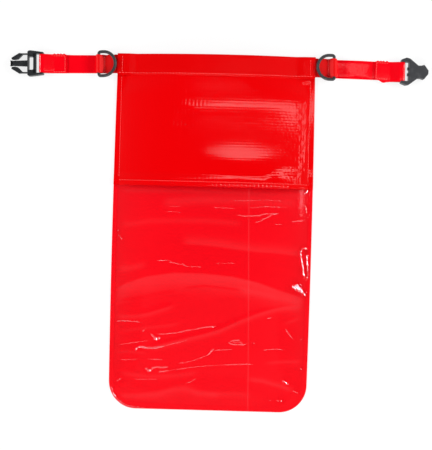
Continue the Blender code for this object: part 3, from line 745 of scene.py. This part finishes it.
def makeFrontSheet():
    middle, foldRow = frontLine()
    along = np.gradient(middle[:, :, 1:], axis=0)
    along /= np.linalg.norm(along, axis=2, keepdims=True) + 1e-12
    offset = np.stack([0 * along[:, :, 0], -along[:, :, 1], along[:, :, 0]], -1) * pouch["cloth"] / 2
    sides = middle - offset, middle + offset
    for grid in sides:
        grid[:, :, 1] = skewed(grid[:, :, 0], grid[:, :, 1])
    rows = np.arange(middle.shape[0] - 1)[:, None] + np.zeros((1, middle.shape[1] - 1), int)
    reverse = (rows >= foldRow).astype(int)
    return gridShell("front_sheet", *sides, [cloth, clothBack], reverse)


front = makeFrontSheet()
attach(front, "pouch")
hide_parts("front_panel")
print("front sheet made:", len(front.data.polygons), "faces")


# straps and ring loops

strap = {
    "width": 0.020, "thickness": 0.0012, "gap": 0.0003, "reach": 0.010, "level": 0.0024, "step": 0.0015,
    "fall": (0.0015, 0.0140), "turnUp": 0.0140, "turnDown": 0.0160, "barRadius": 0.00145,
    "ringBar": 0.0207, "loopStitch": 0.0148, "ringWire": 0.0035, "across": 22, "pitch": 0.0006,
    "edge": 0.35,  # how thick the woven edge is, against the middle
    "puckerReach": 0.0012,
    "upper": 0.62,  # the share of the way along at which the upper ply has begun
}
leftSide = {
    "place": (-0.109, 0.1839), "strapTurn": 181.3, "loopTurn": 181.8,
    "bar": 0.0840, "barLevel": 0.0033, "end": 0.0567,
    "puckers": (0.0595, 0.0630, 0.0662, 0.0700), "puckerHeight": 0.0010,
    "swell": 0.0004, "swellAt": (0.05, 0.01),
}
rightSide = {
    "place": (0.109, 0.1855), "strapTurn": -0.8, "loopTurn": 1.6,
    "bar": 0.0963, "barLevel": 0.0036, "end": 0.0660,
    "puckers": (0.0690, 0.0722, 0.0752, 0.0790), "puckerHeight": 0.0011,
    "droop": (0.0755, 0.0045, 0.0014), "sag": 0.0015, "sagAt": (0.070, 0.006), "fray": 0.0003,
    # between the ring and the doubled end, the webbing tilts up off the floor beyond this line
    "lift": 2.7, "liftSoft": 0.004, "liftPlaces": (0.012, 0.020, 0.034, 0.046, 0.052, 0.062),
    "liftLine": (0.014, 0.004, 0.003, -0.013, -0.013, 0.014),
}


def halfTurn(centre, radius):
    angles = np.linspace(-pi / 2, pi / 2, 24)
    return [(centre[0] + radius * cos(a), centre[1] + radius * sin(a)) for a in angles]


def strapPath(side):
    radius = strap["barRadius"] + strap["gap"] + strap["thickness"] / 2
    ground = strap["thickness"] / 2
    bar, level = side["bar"], side["barLevel"]
    fall, land = strap["fall"]
    path = [(-strap["reach"], strap["level"])]
    path += [(x, ramp(x, (fall, strap["level"]), (land, ground))) for x in np.linspace(fall, land, 16)]
    start = bar - strap["turnUp"]
    up = (bar, level - radius)
    path += [(x, ramp(x, (start, ground), up)) for x in np.linspace(start, bar, 14)[:-1]]
    path += halfTurn((bar, level), radius)
    landed = bar - strap["turnDown"]
    back = (landed, ground + strap["step"])
    path += [(x, ramp(x, back, (bar, level + radius))) for x in np.linspace(bar, landed, 16)[1:]]
    path.append((side["end"], ground + strap["step"]))
    return path


def loopPath():
    radius = strap["ringWire"] / 2 + strap["gap"] + strap["thickness"] / 2
    bar = (strap["ringBar"], 2 * strap["step"] + strap["ringWire"] / 2)
    low = strap["level"] + strap["step"]
    sewn = strap["thickness"] / 2 + strap["step"]
    stitch, step = strap["loopStitch"], strap["step"]
    path = [(-strap["reach"], low)]
    path += [(x, ramp(x, (0.0, low), (stitch, sewn))) for x in np.linspace(0, stitch, 16)]
    path += halfTurn(bar, radius)
    down = (stitch, sewn + step)
    path += [(x, ramp(x, down, (bar[0], bar[1] + radius))) for x in np.linspace(bar[0], stitch, 10)[1:]]
    path += [(x, ramp(x, (0.0, low + step), down)) for x in np.linspace(stitch, 0, 16)[1:]]
    path.append((-strap["reach"], low + step))
    return path


def evenly(path, pitch):
    path = np.array(path, float)
    travelled = travel(path)
    places = np.linspace(0, travelled[-1], int(travelled[-1] / pitch) + 1)
    return np.stack([np.interp(places, travelled, path[:, i]) for i in (0, 1)], -1), places


def sideMatrix(side, turn):
    return Matrix.Translation((*side["place"], 0)) @ Matrix.Rotation(radians(turn), 4, "Z")


def liftAt(side, x, y, place):
    # flat up to the line, then a slope, with a soft bend between them
    if "lift" not in side or place > side["bar"]:
        return 0 * y
    soft = side["liftSoft"]
    beyond = y - np.interp(x, side["liftPlaces"], side["liftLine"])
    return np.tan(radians(side["lift"])) * 0.5 * (beyond + np.hypot(beyond, soft) - soft / 4)


def makeRibbon(name, path, matrix, finish, edges, side):
    # webbing swept along its path; edges gives how far each edge stands out at each place
    line, travelled = evenly(path, strap["pitch"])
    along = np.gradient(line, axis=0)
    along /= np.linalg.norm(along, axis=1, keepdims=True)
    normal = np.stack([-along[:, 1], along[:, 0]], -1)
    count = strap["across"]
    v = np.linspace(-1, 1, count + 1)
    half = strap["thickness"] / 2 * (1 - (1 - strap["edge"]) * np.abs(v) ** 9)
    rings = []
    for (x, z), (nx, nz), place in zip(line, normal, travelled):
        low, high = edges(x, place, travelled[-1])
        y = np.where(v < 0, v * (strap["width"] / 2 + low), v * (strap["width"] / 2 + high))
        lifted = z + liftAt(side, x, y, place)
        under = np.stack([x - nx * half, y, lifted - nz * half], -1)
        over = np.stack([x + nx * half, y, lifted + nz * half], -1)
        rings.append(np.concatenate([under, over[::-1]]))
    points = np.array(rings)
    rows, columns = points.shape[:2]
    index = np.arange(rows * columns).reshape(rows, columns)
    ahead = np.roll(index, -1, axis=1)
    quads = np.stack([index[:-1], ahead[:-1], ahead[1:], index[1:]], -1).reshape(-1, 4)
    faces = quads.tolist() + [index[0][::-1].tolist(), index[-1].tolist()]
    piece = meshPiece(name, points.reshape(-1, 3), faces, [finish], sharp=50)
    piece.data.transform(matrix)
    return piece


def puckers(side, x, place, total):
    # the upper ply's edge is drawn into small bulges by its stitches
    if place <= total * strap["upper"]:
        return 0.0
    return sum(crest(x - at, strap["puckerReach"], side["puckerHeight"]) for at in side["puckers"])


def leftStrapEdges(x, place, total):
    # local +Y is the photo's lower side on this strap
    starts, reach = leftSide["swellAt"]
    swell = leftSide["swell"] * smoothStep((x - starts) / reach)
    return puckers(leftSide, x, place, total) + swell, swell * 0.5


def rightStrapEdges(x, place, total):
    low = 0.0
    if place > total * strap["upper"]:
        at, reach, height = rightSide["droop"]
        starts, sagReach = rightSide["sagAt"]
        low = crest(x - at, reach, height) + rightSide["sag"] * smoothStep((x - starts) / sagReach)
    return low, puckers(rightSide, x, place, total) + rightSide["fray"]


def plainEdges(x, place, total):
    return 0.0002 * np.sin(x * 900), 0.0002 * np.sin(x * 700 + 1)


for name, node, side, edges in (("left_webbing_strap", "left_strap", leftSide, leftStrapEdges),
                                ("right_webbing_strap", "right_strap", rightSide, rightStrapEdges)):
    matrix = sideMatrix(side, side["strapTurn"])
    made = makeRibbon(name, strapPath(side), matrix, strapFinish, edges, side)
    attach(made, "pouch")
    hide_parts(node)
for name, node, side in (("left_webbing_loop", "left_ring_loop", leftSide),
                         ("right_webbing_loop", "right_ring_loop", rightSide)):
    matrix = sideMatrix(side, side["loopTurn"])
    made = makeRibbon(name, loopPath(), matrix, loopFinish, plainEdges, {})
    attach(made, "pouch")
    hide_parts(node)
print("webbing made")


# stitching and weld marks

stitching = {
    "radius": 0.00032, "sides": 6, "lift": 0.0001,
    # (from stitch to stitch, a stitch's length)
    "hemRow": (0.0033, 0.0024), "seamRow": (0.0030, 0.0019), "strapRow": (0.0026, 0.0019),
    # a stitch's profile: (place along it, thickness, height)
    "profile": ((-0.5, 0.25, -0.9), (-0.34, 0.85, -0.2), (0.0, 1.0, 0.15), (0.34, 0.85, -0.2),
                (0.5, 0.25, -0.9)),
    "hemUp": 0.0024, "hemEnds": 0.1075, "sideIn": 0.1044, "sideFoot": 0.0600,
    "sideTop": -0.001, "endFoot": 0.003, "endIn": 0.1035, "endTop": 0.1945,
    "seamAt": 0.0563, "seamEnds": 0.1045,
    "strapHalf": 0.0088, "strapIn": 0.0016, "strapRun": 0.0145, "loopIn": 0.0006,
}


def topOfFront(x, y):
    x, y = np.float64(x), np.float64(y)
    if y > hemFoot + hem["weld"] + hem["drop"]:
        return float(hemLevel(x)[1] + pouch["cloth"] / 2)
    if y > hemFoot:
        return float(hemLevel(x)[0] + pouch["cloth"] * 1.5 + pouch["gap"])
    return float(frontLevel(x, y) + pouch["cloth"] / 2)


def stitchRow(line, kind):
    # stitches evenly along a line of points in space, as (middle, direction, length)
    pitch, length = stitching[kind]
    line = np.array(line, float)
    travelled = travel(line)
    row = []
    for place in np.arange(pitch / 2, travelled[-1], pitch):
        back, middle, ahead = (Vector([np.interp(at, travelled, line[:, i]) for i in range(3)])
                               for at in (place - 0.001, place, place + 0.001))
        row.append((middle, (ahead - back).normalized(), length))
    return row


def makeStitches(name, rows, finish):
    points, faces = [], []
    profile = stitching["profile"]
    sides = stitching["sides"]
    up = Vector((0, 0, 1))
    for middle, along, length in [stitch for row in rows for stitch in row]:
        across = along.cross(up).normalized()
        start = len(points)
        for place, thick, rise in profile:
            centre = middle + along * place * length + up * rise * stitching["radius"]
            for i in range(sides):
                angle = 2 * pi * i / sides
                arm = across * cos(angle) + up * sin(angle)
                points.append(centre + arm * thick * stitching["radius"])
        for ring in range(len(profile) - 1):
            for i in range(sides):
                j = (i + 1) % sides
                a = start + ring * sides
                faces.append([a + i, a + j, a + sides + j, a + sides + i])
        faces.append([start + i for i in range(sides)][::-1])
        faces.append([start + (len(profile) - 1) * sides + i for i in range(sides)])
    return meshPiece(name, points, faces, [finish], sharp=60)


def onFront(points):
    line = []
    for (x0, y0), (x1, y1) in zip(points, points[1:]):
        for t in np.linspace(0, 1, 40):
            x, y = x0 + (x1 - x0) * t, y0 + (y1 - y0) * t
            line.append((x, float(skewed(x, y)), topOfFront(x, y) + stitching["lift"]))
    return line


def onWebbing(side, turn, points, level):
    matrix = sideMatrix(side, turn)
    return [tuple(matrix @ Vector((x, y, level))) for x, y in points]


def makeStitching():
    sideEnds = stitching["sideFoot"], hemFoot + stitching["sideTop"]
    endEnds = hemFoot + stitching["endFoot"], stitching["endTop"]
    row, ends = hemFoot + stitching["hemUp"], stitching["hemEnds"]
    lines = [("hemRow", [(-ends, row), (ends, row)])]
    for sign in (-1, 1):
        for x, places in ((stitching["sideIn"], sideEnds), (stitching["endIn"], endEnds)):
            lines.append(("seamRow", [(sign * x, y) for y in places]))
    row, ends = stitching["seamAt"], stitching["seamEnds"]
    lines.append(("seamRow", [(-ends, row), (ends, row)]))
    rows = [stitchRow(onFront(line), kind) for kind, line in lines]
    half = stitching["strapHalf"]
    for side in (leftSide, rightSide):
        start, stop = side["end"] + stitching["strapIn"], side["end"] + stitching["strapRun"]
        for line in ([(start, -half), (start, half)], [(start, half), (stop, half)],
                     [(start, -half), (stop, -half)]):
            sewn = onWebbing(side, side["strapTurn"], line, 2 * strap["step"])
            rows.append(stitchRow(sewn, "strapRow"))
    at = strap["loopStitch"] - stitching["loopIn"]
    for side in (leftSide, rightSide):
        line = [(at, -half), (at, half)]
        rows.append(stitchRow(onWebbing(side, side["loopTurn"], line, 3 * strap["step"]), "strapRow"))
    return makeStitches("stitching", rows, thread)


stitches = makeStitching()
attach(stitches, "pouch")


weldMark = {
    "row": 0.0537, "from": -0.102, "to": 0.1021, "pitch": 0.0046, "half": 0.0008, "sunk": 0.0001,
    "tall": 0.0005, "low": 0.0002, "tallFrom": -0.004, "tallTo": 0.084,
}


def makeWeldMarks():
    # the row of small raised points that the welding tool leaves along the window's seam
    points, faces = [], []
    half, y = weldMark["half"], weldMark["row"]
    for x in np.arange(weldMark["from"], weldMark["to"], weldMark["pitch"]):
        middle = topOfFront(x, y)
        start = len(points)
        for dx, dy in ((-half, -half), (half, -half), (half, half), (-half, half)):
            points.append((x + dx, float(skewed(x, y)) + dy, middle - weldMark["sunk"]))
        peak = weldMark["tall" if weldMark["tallFrom"] < x < weldMark["tallTo"] else "low"]
        points.append((x, float(skewed(x, y)), middle + peak))
        faces += [[start + i, start + (i + 1) % 4, start + 4] for i in range(4)]
        faces.append([start + i for i in range(4)][::-1])
    return meshPiece("seam_weld_marks", points, faces, [cloth], sharp=20)


weldMarks = makeWeldMarks()
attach(weldMarks, "pouch")
print("stitching made")


# moulded parts keep their frame shapes

for node, finish in (("male_buckle", prongedPlastic), ("female_buckle", bucklePlastic),
                     ("left_d_ring", ringPlastic), ("right_d_ring", ringPlastic),
                     ("lip_stiffener", stripPlastic)):
    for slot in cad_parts[node].material_slots:
        slot.material = finish


# floor, light and camera

studio = {
    "floorHalf": 3.0, "floorDrop": 0.0004, "floorDiffuse": 0.20, "floorGlow": 0.80,
    # how bright the studio is at heights above the horizon, as the sine of the angle
    "sky": ((0.0, 1.0), (0.42, 1.0), (0.62, 0.36), (0.74, 0.12), (0.86, 0.045), (0.966, 0.012),
            (1.0, 0.002)),
}


def makeFloor():
    # seen and mirrored it is white; lit it is dull, so that it keeps the object's shadow
    half, level = studio["floorHalf"], -studio["floorDrop"]
    corners = [(x * half, y * half, level) for x, y in ((-1, -1), (1, -1), (1, 1), (-1, 1))]
    floor = meshPiece("floor", corners, [[0, 1, 2, 3]], [])
    finish = Finish("pale_floor")
    path = [finish.node("LightPath", output=name)
            for name in ("Is Camera Ray", "Is Glossy Ray", "Is Transmission Ray")]
    seen = (path[0] + path[1] + path[2]).clamped()
    diffuse = studio["floorDiffuse"]
    dull = finish.node("BsdfDiffuse", {}, {"Color": (diffuse, diffuse, diffuse, 1)})
    glow = finish.node("Emission", {}, {"Strength": seen * studio["floorGlow"]})
    floor.data.materials.append(finish.surface(finish.node("AddShader", {}, {0: dull, 1: glow})))


makeFloor()


def makeWorld():
    # a soft studio: darker straight overhead where the camera hangs, pale round the horizon
    world = bpy.data.worlds.new("studio")
    scene.world = world
    finish = Finish("studio", world)
    height = finish.axes(finish.node("TexCoord", output="Generated"))[2]
    level = finish.node("ValToRGB", {"stops": studio["sky"]}, {0: height})
    finish.node("OutputWorld", {}, {"Surface": finish.node("Background", {}, {"Color": level})})


makeWorld()

lamps = {
    # name: (place, aim, size across, size along, watts)
    "rightSoftbox": ((1.55, 0.40, 0.80), (0, 0, 0), 1.3, 0.5, 25.5),
    "leftSoftbox": ((-1.60, 0.05, 0.80), (0, 0, 0), 1.2, 0.5, 23.5),
    "footFill": ((0.10, -1.65, 0.80), (0, 0, 0), 0.9, 0.5, 14),
    "longStrip": ((0.31, 0.275, 1.0), (0.31, 0.275, 0), 0.70, 0.040, 0.26),
    "edgeSpark": ((0.750, 0.19, 1.0), (0.750, 0.19, 0), 0.045, 0.28, 0.085),
    "footPanel": ((0.0, -0.37, 1.0), (0, -0.37, 0), 0.9, 0.46, 0.05),
}
for name, (place, aim, across, along, watts) in lamps.items():
    light = bpy.data.lights.new(name, "AREA")
    light.shape = "RECTANGLE"
    light.size, light.size_y, light.energy = across, along, watts
    lamp = bpy.data.objects.new(name, light)
    scene.collection.objects.link(lamp)
    lamp.location = place
    lamp.rotation_euler = (Vector(aim) - Vector(place)).to_track_quat("-Z", "Y").to_euler()

view = {
    "above": (0.0043, 0.0093), "distance": 1.0, "level": 0.002, "turn": 1.6, "height": 0.4973,
    "sensor": 36,
}
cameraData = bpy.data.cameras.new("camera")
cameraData.sensor_width = view["sensor"]
cameraData.lens = view["sensor"] * view["distance"] / view["height"]
camera = bpy.data.objects.new("camera", cameraData)
camera.location = (*view["above"], view["distance"] + view["level"])
camera.rotation_euler = (0, 0, radians(view["turn"]))
scene.collection.objects.link(camera)
scene.camera = camera
scene.view_settings.view_transform = "Standard"
